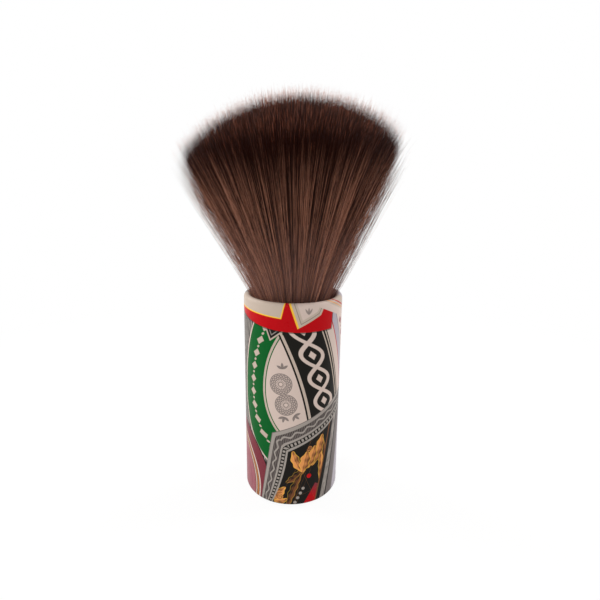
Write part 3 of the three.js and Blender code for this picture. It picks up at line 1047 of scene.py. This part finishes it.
def sleeve_mesh(settings):
    outline, outside = sleeve_outline(settings)
    turns = np.linspace(0, 2 * math.pi, WALL_SEGMENTS, endpoint=False)
    edge_turns = SEAM_TURN + np.array(SEAM_EDGE) / HANDLE_RADIUS
    turns = np.sort(np.concatenate([turns, edge_turns]))

    def shift(points, turns):
        radius, height = points[:, 0], points[:, 1]
        mouth = HANDLE_RADIUS - settings.lip
        on_wall = (np.arange(len(points)) < outside) & (radius > HANDLE_RADIUS - 0.6 * settings.lip)
        past = (turns - SEAM_TURN) * HANDLE_RADIUS
        lap = np.where(past > 0, np.clip(1 - past / SEAM_WIDTH, 0, 1), 0)
        lap = lap * lap * (3 - 2 * lap)
        step = settings.seam * lap[:, None] * on_wall[None, :]
        inwards = np.clip((mouth + PLEAT_REACH - radius) / PLEAT_REACH, 0, 1)
        fold = sum(weight * np.sin(count * turns + start) for count, start, weight in PLEATS)
        pleats = -settings.pleat * (fold[:, None] * PLEAT_SWING + PLEAT_SINK) * inwards[None, :]
        return step + pleats * (height > HANDLE_HEIGHT / 2)[None, :]

    mesh = turned_ring("printed_sleeve_film", outline, turns, shift)
    smooth_below(mesh, FILM_CREASE)
    return mesh


# ---------------------------------------------------------------- base cap

CAP_GROOVES = (7.5 * MM, 14.5 * MM)
CAP_ROUND = 0.5 * MM
CAP_WALL = 1.5 * MM
CAP_SEGMENTS = 128
CAP_CREASE = 35
CAP_FINISH = ("Black moulded cap", "2B2A2A", "1F1E1E", 1500, 0.45, 0.62, 0.03 * MM)
GATE_MARK = ((0, 0.35), (1.2, 0.35), (1.6, 0.25), (1.8, 0.0))
GROOVE = ((-0.5, 0.0), (-0.35, 0.12), (-0.12, 0.28), (0.12, 0.28), (0.35, 0.12), (0.5, 0.0))


def widest(nodes, low, high):
    """The largest radius that the nodes' own points have between two heights."""
    spots = np.concatenate([node_points(name) for name in nodes])
    inside = (spots[:, 2] > low - FINE) & (spots[:, 2] < high + FINE)
    return float(np.hypot(spots[inside, 0], spots[inside, 1]).max())


def node_points(name):
    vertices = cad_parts[name].data.vertices
    spots = np.zeros(len(vertices) * 3, np.float32)
    vertices.foreach_get("co", spots)
    return spots.reshape(-1, 3).astype(float)


def levels(name):
    """The heights at which a node's outline bends, lowest first."""
    return np.unique(np.round(node_points(name)[:, 2] / FINE) * FINE)


def cap_outline():
    """The cap's outline from the axis below to the axis above: gate mark, grooves and round rim."""
    low, ledge, high = levels("base_cap")
    flange = widest(["base_cap"], low, ledge)
    skirt = widest(["base_cap"], high, high)
    bore = skirt - CAP_WALL
    outline = [(out * MM, rise * MM) for out, rise in GATE_MARK]
    for groove in CAP_GROOVES:
        outline += [(groove + out * MM, rise * MM) for out, rise in GROOVE]
    outline += arc((flange - CAP_ROUND, CAP_ROUND), CAP_ROUND, -90, 0, 6)
    outline += [(flange, ledge), (skirt, ledge)]
    outline += arc((skirt - CAP_ROUND, high - CAP_ROUND), CAP_ROUND, 0, 90, 4)
    outline += [(bore, high), (bore, ledge), (0, ledge)]
    return outline


# ---------------------------------------------------------------- filament knot

BISECTIONS = 24
SIDES = 3
TONES = 64
RING_RISES = (0.0, 0.22, 0.8)   # rings between the throat and the end, as shares of that length
# The tip mark and light rise set how much of a thin end takes the light end colour: painted light.
TIP_MARK = 2.0                  # what marks the end of the filaments that stand highest
LIGHT_RISE = 0.6                # share of the overrun from which an end is wholly light
ROOT_SCATTER = 0.014            # spread of the roots, as a share of the knot's radius
CLUMP_TONES = 0.13
TONE = 0.42
TONE_SPREAD = 0.18
# Outer fringe filaments get higher, lighter tones, and half of them the pale tone: partly lighter filaments,
# partly painted backlight.
FRINGE_BACKLIT_STEP = 0.25
FRINGE_BACKLIT_TOP = 0.8
PALE_BACKLIT_TONE = 0.95
PALE_BACKLIT_SHARE = 0.5
TALL_PULL = 0.35                # how much of its clump's pull a tall filament follows
FRINGE_REACH = 1.25
COARSE_REACH = 0.1
RIM_DROP = 0.3                  # how much deeper the top fringe is at the rim of the dome
STRAY_FACTOR = 3.0
FRINGE_GIRTH = 0.55
TALL_GIRTH = 0.65
COARSE_GIRTH = 1.4
TAPER = 0.38                    # girth at the foot of the thin tip
LAYOUT_COLUMN = (0.2, 0.6)      # start and width of a tone's column, as shares of its place
LAYOUT_RISE = (0.02, 0.95)      # foot and height of the columns
LAYOUT_LIFT = 0.006             # keeps the small end faces from lying on a line


class Knot:
    """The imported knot's outline: where a filament with one share of its radius runs and ends."""

    def __init__(self, settings):
        sides = levels("bristle_tuft_centre")[:4]
        shoulder_radius = widest(TUFTS, 0, 1)
        spots = np.concatenate([node_points(name) for name in TUFTS])
        shoulder = spots[np.hypot(spots[:, 0], spots[:, 1]) > shoulder_radius - FINE][:, 2].max()
        self.heights = np.append(sides, shoulder)
        self.radii = np.array([widest(TUFTS, z, z) for z in self.heights])
        self.slope = (self.radii[-1] - self.radii[-2]) / (self.heights[-1] - self.heights[-2])
        self.root = self.heights[0]
        self.rim = self.heights[2]
        self.throat = self.heights[3]
        self.shoulder = shoulder
        self.top = spots[:, 2].max()
        self.power = settings.dome
        self.skew = settings.skew

    def radius(self, height):
        """The knot's radius at a height, carried on straight above its shoulder."""
        beyond = np.maximum(height - self.shoulder, 0) * self.slope
        return np.interp(height, self.heights, self.radii) + beyond

    def end(self, share, turn):
        """The height at which filaments of that share and direction reach the dome."""
        low = np.full(share.shape, self.shoulder)
        high = np.full(share.shape, self.top)
        power = self.power + self.skew * np.cos(turn)
        for _ in range(BISECTIONS):
            middle = (low + high) / 2
            rise = np.clip((middle - self.shoulder) / (self.top - self.shoulder), 0, 1)
            dome = self.radii[-1] * (1 - rise ** power) ** (1 / power)
            under = share * self.radius(middle) < dome
            low = np.where(under, middle, low)
            high = np.where(under, high, middle)
        return (low + high) / 2


def tuft_cell(name):
    """The shares between which a tuft lies, its middle direction and half its angle."""
    count = {"centre": 1, "inner": 6, "outer": 12}[name.split("_")[2]]
    first = {1: 0, 6: 1, 12: 7}[count]
    inner, outer = (math.sqrt(number / len(TUFTS)) for number in (first, first + count))
    middle = node_points(name).mean(axis=0)
    turn = math.atan2(middle[1], middle[0]) if count > 1 else 0.0
    return inner, outer, turn, math.pi / count


def draw_shares(draw, cell, number):
    """Evenly scattered places in a tuft's cell, as flat shares of the knot's radius."""
    inner, outer, turn, half = cell
    share = np.sqrt(draw.uniform(inner ** 2, outer ** 2, number))
    turns = turn + draw.uniform(-half, half, number)
    return np.stack([share * np.cos(turns), share * np.sin(turns)], axis=-1)


def lean_over(points, settings):
    """Points moved with the knot's lean, which comes in over the first stretch above the lip."""
    rise = points[..., 2] - HANDLE_HEIGHT
    blend = np.clip(rise / settings.lean_rise, 0, 1)
    turn = settings.lean * blend * blend * (3 - 2 * blend)
    x = points[..., 0] * np.cos(turn) - rise * np.sin(turn)
    z = HANDLE_HEIGHT + rise * np.cos(turn) + points[..., 0] * np.sin(turn)
    return np.stack([x, points[..., 1], z], axis=-1)


def tuft_lines(knot, cell, draw, settings):
    """The middle lines of a tuft's filaments, ring by ring, and each one's tone, girth and tip mark."""
    number = settings.strands
    home = draw_shares(draw, cell, number)
    home += draw.normal(0, ROOT_SCATTER, home.shape)
    centres = draw_shares(draw, cell, settings.clumps)
    clump_tone = draw.normal(0, CLUMP_TONES, settings.clumps)
    gaps = ((home[:, None, :] - centres[None, :, :]) ** 2).sum(axis=-1)
    nearest = gaps.argmin(axis=1)
    turn = np.arctan2(home[:, 1], home[:, 0])
    outside = (draw.random(number) < settings.thin) & (cell[1] == 1)
    tall = outside | (draw.random(number) < settings.tall)
    pull = np.where(tall, TALL_PULL, 1.0) * draw.uniform(0.0, settings.gather, number)
    away = home + (centres[nearest] - home) * pull[:, None]
    facing = np.stack([np.cos(turn), np.sin(turn)], axis=-1)
    home = np.where(outside[:, None], facing, home)
    away = np.where(outside[:, None], facing, away)
    coarse = outside & (draw.random(number) < settings.coarse)
    depth = np.where(outside, FRINGE_REACH * (1 - np.sqrt(draw.random(number))), 0.0)
    depth = np.where(coarse, COARSE_REACH * depth, depth)
    inset = 1 - settings.side_fringe / knot.radii[-1]
    share = np.minimum(np.hypot(*home.T), 1.0) * (inset + (1 - inset) * depth)
    drop = np.where(tall, np.sqrt(draw.random(number)), 1.0)
    drop = drop * settings.top_fringe * (1 + RIM_DROP * share ** 2)
    packed = knot.end(share, turn)
    end = packed + settings.overrun - drop + draw.normal(0, settings.fuzz, number)
    # How much of the thin end is painted light, for light shining through the ends that stand highest.
    mark = 1 + np.clip((end - packed) / (LIGHT_RISE * settings.overrun), 0, 1) * (TIP_MARK - 1)
    spread = draw.normal(0, settings.stray, (number, 2))
    wild = draw.random(number) < settings.wild
    spread *= np.where(wild, STRAY_FACTOR, 1.0)[:, None]
    heights = [np.full(number, level) for level in (knot.root, knot.rim)]
    heights += [knot.throat + (end - knot.throat) * rise for rise in RING_RISES]
    heights += [end - settings.thin_tip, end]
    waist = knot.throat + (knot.shoulder - knot.throat) * RING_RISES[1]
    fringe = (0, settings.lip_fringe, settings.side_fringe)
    lines = []
    for height in heights:
        gone = np.clip((height - knot.throat) / (end - knot.throat), 0, 1)
        flat = home + (away - home) * gone[:, None]
        room = np.interp(height, (knot.rim, knot.throat, waist), fringe)
        side = flat * (knot.radius(height) - room)[:, None]
        side = side + (depth * room)[:, None] * facing + spread * (gone ** 2)[:, None]
        lines.append(np.concatenate([side, height[:, None]], axis=1))
    lines = lean_over(np.stack(lines, axis=1), settings)
    tone = np.clip(draw.normal(TONE, TONE_SPREAD, number) + clump_tone[nearest], 0, 0.999)
    # Fringe filaments made lighter: partly lighter filaments, partly painted backlight.
    tone = np.where(outside, np.minimum(tone + FRINGE_BACKLIT_STEP, FRINGE_BACKLIT_TOP), tone)
    tone = np.where(outside & (draw.random(number) < PALE_BACKLIT_SHARE) | coarse, PALE_BACKLIT_TONE, tone)
    girth = np.where(outside, FRINGE_GIRTH, np.where(tall, TALL_GIRTH, 1.0))
    return lines, np.floor(tone * TONES), np.where(coarse, COARSE_GIRTH, girth), mark


def tuft_mesh(name, knot, settings, seed):
    """One tuft as closed three-sided filaments, each with its tone and the place along it."""
    draw = np.random.default_rng(seed)
    lines, level, girth, mark = tuft_lines(knot, tuft_cell(name), draw, settings)
    number, rings, _ = lines.shape
    sizes = np.array([settings.strand] * (rings - 2) + [settings.strand * TAPER, settings.tip])
    phase = draw.uniform(0, 2 * math.pi, number)
    turns = phase[:, None] + np.arange(SIDES) * 2 * math.pi / SIDES
    ring = np.stack([np.cos(turns), np.sin(turns), np.zeros_like(turns)], axis=-1)
    sizes = girth[:, None] * sizes
    points = lines[:, :, None, :] + ring[:, None, :, :] * sizes[:, :, None, None]
    base = np.arange(number)[:, None] * rings * SIDES
    low = np.arange(rings - 1)[None, :, None] * SIDES
    high = low + SIDES
    side = np.arange(SIDES)[None, None, :]
    ahead = (side + 1) % SIDES
    wall = np.stack(np.broadcast_arrays(low + side, low + ahead, high + ahead, high + side), axis=-1)
    quads = base[:, :, None, None] + wall
    feet = base + np.array([2, 1, 0])
    tips = base + (rings - 1) * SIDES + np.array([0, 1, 2])
    corners = np.concatenate([quads.ravel(), feet.ravel(), tips.ravel()])
    counts = np.concatenate([np.full(number * (rings - 1) * SIDES, 4), np.full(2 * number, 3)])
    mesh = build_mesh(name + "_filaments", points.reshape(-1, 3), corners, counts)
    mesh.polygons.foreach_set("use_smooth", np.ones(len(mesh.polygons), dtype=bool))
    # Height share along the head: the colour darkens with it towards the top, partly as painted shade.
    along = np.clip((lines[:, :, 2] - knot.rim) / (knot.top - knot.rim), 0, 1)
    along[:, -1] = mark
    along = np.broadcast_to(along[:, :, None], (number, rings, SIDES)).ravel()
    tone = np.repeat(level / TONES, rings * SIDES)
    for label, values in (("tone", tone), ("along", along)):
        layer = mesh.attributes.new(label, "FLOAT", "POINT")
        layer.data.foreach_set("value", np.ascontiguousarray(values, dtype=np.float32))
    lay_out(mesh, level, along, number, rings)
    return mesh


def lay_out(mesh, level, along, number, rings):
    """A flat layout for the bake: each tone has a column, and height runs up it."""
    loops = np.zeros(len(mesh.loops), dtype=np.int32)
    mesh.loops.foreach_get("vertex_index", loops)
    strand = loops // (rings * SIDES)
    side_count = number * (rings - 1) * SIDES * 4
    corner = np.arange(len(loops))
    on_side = corner < side_count
    turn = (corner - side_count) % 3
    step = np.where(on_side, np.array([0, 1, 1, 0])[corner % 4], turn / 2)
    across = (level[strand] + LAYOUT_COLUMN[0] + LAYOUT_COLUMN[1] * step) / TONES
    up = LAYOUT_RISE[0] + LAYOUT_RISE[1] * along[loops] / TIP_MARK
    lift = np.where(~on_side & (turn == 1), LAYOUT_LIFT, 0.0)
    layer = mesh.uv_layers.new(name="OFBake")
    layer.data.foreach_set("uv", np.stack([across, up + lift], axis=-1).astype(np.float32).ravel())


# ---------------------------------------------------------------- operators

def add_piece(name, mesh, material, nodes):
    """Adds a piece that rides on the brush's body and stands for CAD nodes."""
    piece = new_object(name, mesh, material)
    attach(piece, BODY)
    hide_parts(*nodes)
    return piece


class NECKDUSTER_OT_film_sleeve(bpy.types.Operator):
    """Builds the printed film sleeve with its turned-in lip, pleats and lapped seam"""
    bl_idname = "neckduster.film_sleeve"
    bl_label = "Film Sleeve"

    def execute(self, context):
        settings = context.scene.neck_duster_film
        mesh = sleeve_mesh(settings)
        add_piece("printed_sleeve_film", mesh, film_material(settings), ["printed_sleeve"])
        return {"FINISHED"}


class NECKDUSTER_OT_base_cap(bpy.types.Operator):
    """Builds the moulded plug cap that the brush stands on"""
    bl_idname = "neckduster.base_cap"
    bl_label = "Base Cap"

    def execute(self, context):
        mesh = turned_disc("base_cap_moulding", cap_outline(), CAP_SEGMENTS)
        smooth_below(mesh, CAP_CREASE)
        material = moulded_material(*CAP_FINISH)
        add_piece("base_cap_moulding", mesh, material, ["base_cap"])
        return {"FINISHED"}


INNER_FINISHES = (
    # node, finish, tint, dark tint, grain scale, lowest and highest roughness, bump depth
    ("handle_tube", "White moulded tube", "EDE9E1", "DFDAD0", 1200, 0.45, 0.6, 0.02 * MM),
    ("knot_cup", "Dark moulded cup", "2E2A28", "232020", 1300, 0.42, 0.58, 0.03 * MM),
    ("root_plug", "Cast amber resin", "7A5228", "5E3C1B", 300, 0.18, 0.34, 0.05 * MM),
    ("knot_band", "Nylon band", "38261F", "2A1C17", 2000, 0.55, 0.75, 0.02 * MM),
)


class NECKDUSTER_OT_inner_parts(bpy.types.Operator):
    """Gives the tube, the cup, the resin and the band inside the handle their finishes"""
    bl_idname = "neckduster.inner_parts"
    bl_label = "Inner Parts"

    def execute(self, context):
        for node, *finish in INNER_FINISHES:
            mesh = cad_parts[node].data
            mesh.materials.clear()
            mesh.materials.append(moulded_material(*finish))
        return {"FINISHED"}


class NECKDUSTER_OT_filament_knot(bpy.types.Operator):
    """Draws the filaments of every tuft in the knot"""
    bl_idname = "neckduster.filament_knot"
    bl_label = "Filament Knot"

    def execute(self, context):
        settings = context.scene.neck_duster_knot
        knot = Knot(settings)
        material = filament_material(settings)
        for number, name in enumerate(TUFTS):
            mesh = tuft_mesh(name, knot, settings, settings.seed + number)
            add_piece(name + "_filaments", mesh, material, [name])
        return {"FINISHED"}


def lamp(name, place, target, size, watts):
    """A soft square lamp aimed at a point."""
    light = bpy.data.lights.new(name, "AREA")
    light.shape = "SQUARE"
    light.size = size
    light.energy = watts
    obj = bpy.data.objects.new(name, light)
    obj.location = place
    obj.rotation_euler = (Vector(target) - Vector(place)).to_track_quat("-Z", "Y").to_euler()
    bpy.context.scene.collection.objects.link(obj)


def seen_directly(sheet):
    """1 for rays that show the background itself: from the camera, in a reflection or through glass."""
    path = sheet.node("LightPath")
    glossy = Field(sheet, path.outputs["Is Glossy Ray"]).most(path.outputs["Is Transmission Ray"])
    return glossy.most(path.outputs["Is Camera Ray"])


def floor_material(stage):
    """Pale floor that shows white where it is unshaded and keeps a soft shadow."""
    material, sheet, shader, place = new_material("Pale floor", 0.85)
    cloud = sheet.noise(place, 9)
    pale = tuple(min(1.0, c * 1.03) for c in stage.floor_colour)
    sheet.feed(shader.inputs["Base Color"], sheet.mix(cloud, stage.floor_colour, pale))
    shader.inputs["Specular IOR Level"].default_value = 0.1
    glow = sheet.node("Emission")
    glow.inputs["Color"].default_value = (1, 1, 1, 1)
    glow.inputs["Strength"].default_value = 1.0
    both = sheet.node("MixShader")
    out = sheet.node("VectorMath", operation="LENGTH")
    sheet.feed(out.inputs[0], place)
    glow_share = sheet.ramp(out.outputs["Value"], stage.floor_near, stage.floor_far, stage.floor_glow, 1.0)
    sheet.feed(both.inputs[0], seen_directly(sheet) * glow_share)
    sheet.feed(both.inputs[1], shader.outputs[0])
    sheet.feed(both.inputs[2], glow.outputs[0])
    output = next(node for node in material.node_tree.nodes if node.type == "OUTPUT_MATERIAL")
    sheet.feed(output.inputs[0], both.outputs[0])
    return material


def build_world(stage):
    """Even white light from all round, and a white background."""
    world = bpy.data.worlds.new("Soft studio")
    world.use_nodes = True
    world.node_tree.nodes.clear()
    sheet = Sheet(world.node_tree)
    output = sheet.node("OutputWorld")
    both = sheet.node("MixShader")
    sheet.feed(both.inputs[0], seen_directly(sheet))
    for socket, strength in zip(both.inputs[1:], (stage.ambient, 1.0)):
        sky = sheet.node("Background")
        sky.inputs["Color"].default_value = (1, 1, 1, 1)
        sky.inputs["Strength"].default_value = strength
        sheet.feed(socket, sky.outputs[0])
    sheet.feed(output.inputs[0], both.outputs[0])
    bpy.context.scene.world = world


CENTRE_SHARE = 0.5              # heights that the lamps aim at, as shares of the brush's height
HEAD_SHARE = 0.85
KEY_PLACE = (-0.45, -0.65, 0.6)
KEY_SIZE = 0.6
SIDE_ACROSS = 0.36
SIDE_SIZE = 0.25


class NECKDUSTER_OT_stage(bpy.types.Operator):
    """Sets the camera, the floor, the lamps and the world"""
    bl_idname = "neckduster.stage"
    bl_label = "Stage"

    def execute(self, context):
        stage = context.scene.neck_duster_stage
        half = stage.floor_size / 2
        low = -2 * FINE
        corners = np.array([(-half, -half, low), (half, -half, low), (half, half, low), (-half, half, low)])
        mesh = build_mesh("floor", corners, np.arange(4), np.array([4]))
        floor = new_object("floor", mesh, floor_material(stage))
        lens = bpy.data.cameras.new("camera")
        lens.lens = stage.lens
        lens.clip_start = 0.01
        camera = bpy.data.objects.new("camera", lens)
        aim = Matrix.Rotation(-stage.yaw, 4, "Z") @ Matrix.Rotation(math.pi / 2 - stage.pitch, 4, "X")
        place = Matrix.Translation((0, -stage.distance, stage.height))
        camera.matrix_world = place @ aim @ Matrix.Rotation(stage.roll, 4, "Z")
        context.scene.collection.objects.link(camera)
        context.scene.camera = camera
        context.scene.view_settings.view_transform = "Standard"
        top = CAD_BOX[1][2]
        lamp("key", KEY_PLACE, (0, 0, CENTRE_SHARE * top), KEY_SIZE, stage.key)
        for name, across in (("left side", -SIDE_ACROSS), ("right side", SIDE_ACROSS)):
            lamp(name, (across, 0.14, 0.34), (0, 0, HEAD_SHARE * top), SIDE_SIZE, stage.side)
        build_world(stage)
        return {"FINISHED"}


class NECKDUSTER_PT_sidebar(bpy.types.Panel):
    """Sizes, colours and build steps of the neck duster"""
    bl_label = "Neck Duster"
    bl_idname = "NECKDUSTER_PT_sidebar"
    bl_space_type = "VIEW_3D"
    bl_region_type = "UI"
    bl_category = "Neck Duster"

    def draw(self, context):
        for step, group in STEPS.items():
            box = self.layout.box()
            box.operator("neckduster." + step)
            if group:
                settings = getattr(context.scene, group)
                for name in settings.__annotations__:
                    box.prop(settings, name)


STEPS = {
    "film_sleeve": "neck_duster_film",
    "base_cap": None,
    "inner_parts": None,
    "filament_knot": "neck_duster_knot",
    "stage": "neck_duster_stage",
}

SETTINGS = {
    "neck_duster_film": NeckDusterFilm,
    "neck_duster_knot": NeckDusterKnot,
    "neck_duster_stage": NeckDusterStage,
}

CLASSES = (
    *SETTINGS.values(),
    NECKDUSTER_OT_film_sleeve,
    NECKDUSTER_OT_base_cap,
    NECKDUSTER_OT_inner_parts,
    NECKDUSTER_OT_filament_knot,
    NECKDUSTER_OT_stage,
    NECKDUSTER_PT_sidebar,
)


def register():
    for kind in CLASSES:
        bpy.utils.register_class(kind)
    for name, kind in SETTINGS.items():
        setattr(bpy.types.Scene, name, PointerProperty(type=kind))


def unregister():
    for name in SETTINGS:
        delattr(bpy.types.Scene, name)
    for kind in reversed(CLASSES):
        bpy.utils.unregister_class(kind)


def main():
    register()
    for step in STEPS:
        getattr(bpy.ops.neckduster, step)()


if __name__ == "__main__":
    main()
